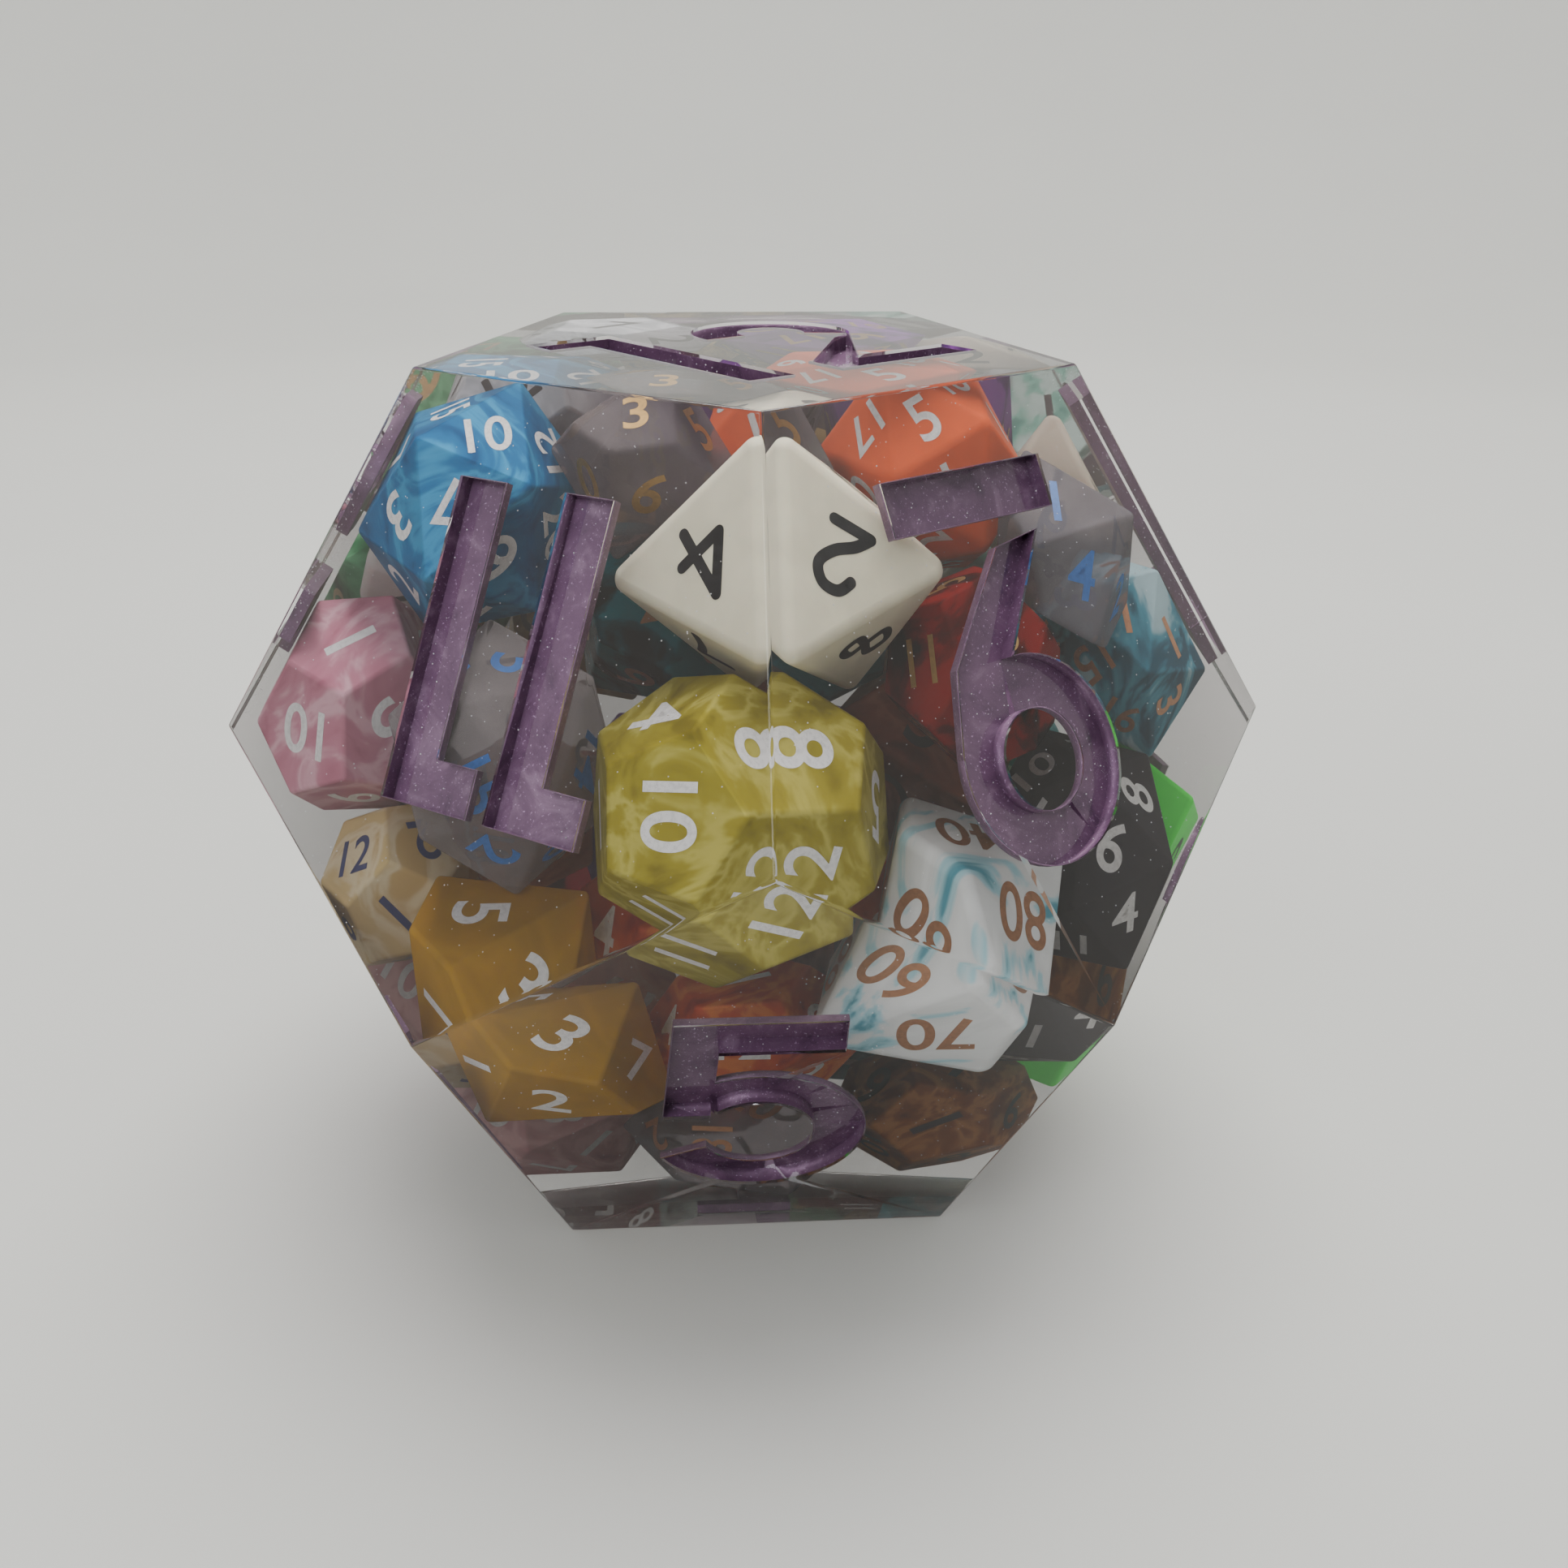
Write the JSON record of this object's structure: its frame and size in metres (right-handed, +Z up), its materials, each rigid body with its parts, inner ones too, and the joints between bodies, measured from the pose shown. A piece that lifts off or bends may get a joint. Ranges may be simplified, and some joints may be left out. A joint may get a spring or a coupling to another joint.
{
  "type": "polyhedral die",
  "caption": "Jumbo twelve-sided die of clear cast resin packed with small polyhedral dice, with recessed painted numerals on its faces.",
  "frame": {"origin": "middle of the face the die stands on, on the table plane", "axes": "+Z up through the opposite face, -Y towards the edge between its two front upper faces and the front lower face, +X to the viewer's right"},
  "size_m": [0.0914, 0.0962, 0.0779],
  "materials": {
    "d10_amber": "polished moulded resin",
    "d10_clear_blue_ink": "polished moulded resin",
    "d10_clear_gold_ink": "polished moulded resin",
    "d10_teal_black": "polished moulded resin",
    "d10_white_teal_tens": "polished moulded resin",
    "d12_aqua": "polished moulded resin",
    "d12_copper": "polished moulded resin",
    "d12_cream_marble": "polished moulded resin",
    "d12_mint": "polished moulded resin",
    "d12_orange_red": "polished moulded resin",
    "d12_pink": "polished moulded resin",
    "d12_red_black": "polished moulded resin",
    "d12_silver": "polished moulded resin",
    "d12_violet": "polished moulded resin",
    "d12_yellow": "polished moulded resin",
    "d20_black": "polished moulded resin",
    "d20_blue": "polished moulded resin",
    "d20_clear_blue_ink": "polished moulded resin",
    "d20_clear_lilac": "polished moulded resin",
    "d20_gold": "polished moulded resin",
    "d20_green": "polished moulded resin",
    "d20_orange": "polished moulded resin",
    "d20_purple": "polished moulded resin",
    "d20_rose": "polished moulded resin",
    "d20_ruby": "polished moulded resin",
    "d20_teal_white": "polished moulded resin",
    "d6_coral": "polished moulded resin",
    "d6_neon_green": "polished moulded resin",
    "d6_white": "polished moulded resin",
    "d8_cream": "polished moulded resin",
    "d8_ivory": "polished moulded resin",
    "d8_red_brown": "polished moulded resin",
    "numeral_paint": "satin, fine metallic flake",
    "clear_resin": "polished cast resin, slightly cloudy"
  },
  "bodies": {
    "root": {"d10_amber": "d10_amber", "d10_clear_blue_ink": "d10_clear_blue_ink", "d10_clear_gold_ink": "d10_clear_gold_ink", "d10_teal_black": "d10_teal_black", "d10_white_teal_tens": "d10_white_teal_tens", "d12_aqua": "d12_aqua", "d12_copper": "d12_copper", "d12_cream_marble": "d12_cream_marble", "d12_mint": "d12_mint", "d12_orange_red": "d12_orange_red", "d12_pink": "d12_pink", "d12_red_black": "d12_red_black", "d12_silver": "d12_silver", "d12_violet": "d12_violet", "d12_yellow": "d12_yellow", "d20_black": "d20_black", "d20_blue": "d20_blue", "d20_clear_blue_ink": "d20_clear_blue_ink", "d20_clear_lilac": "d20_clear_lilac", "d20_gold": "d20_gold", "d20_green": "d20_green", "d20_orange": "d20_orange", "d20_purple": "d20_purple", "d20_rose": "d20_rose", "d20_ruby": "d20_ruby", "d20_teal_white": "d20_teal_white", "d6_coral": "d6_coral", "d6_neon_green": "d6_neon_green", "d6_white": "d6_white", "d8_cream": "d8_cream", "d8_ivory": "d8_ivory", "d8_red_brown": "d8_red_brown", "paint_01_one": "numeral_paint", "paint_02_two": "numeral_paint", "paint_03_three": "numeral_paint", "paint_04_four": "numeral_paint", "paint_05_five": "numeral_paint", "paint_06_bar": "numeral_paint", "paint_06_six": "numeral_paint", "paint_07_seven": "numeral_paint", "paint_08_eight": "numeral_paint", "paint_09_bar": "numeral_paint", "paint_09_nine": "numeral_paint", "paint_10_one": "numeral_paint", "paint_10_zero": "numeral_paint", "paint_11_left": "numeral_paint", "paint_11_right": "numeral_paint", "paint_12_one": "numeral_paint", "paint_12_two": "numeral_paint", "resin_body": "clear_resin"}
  },
  "joints": []
}
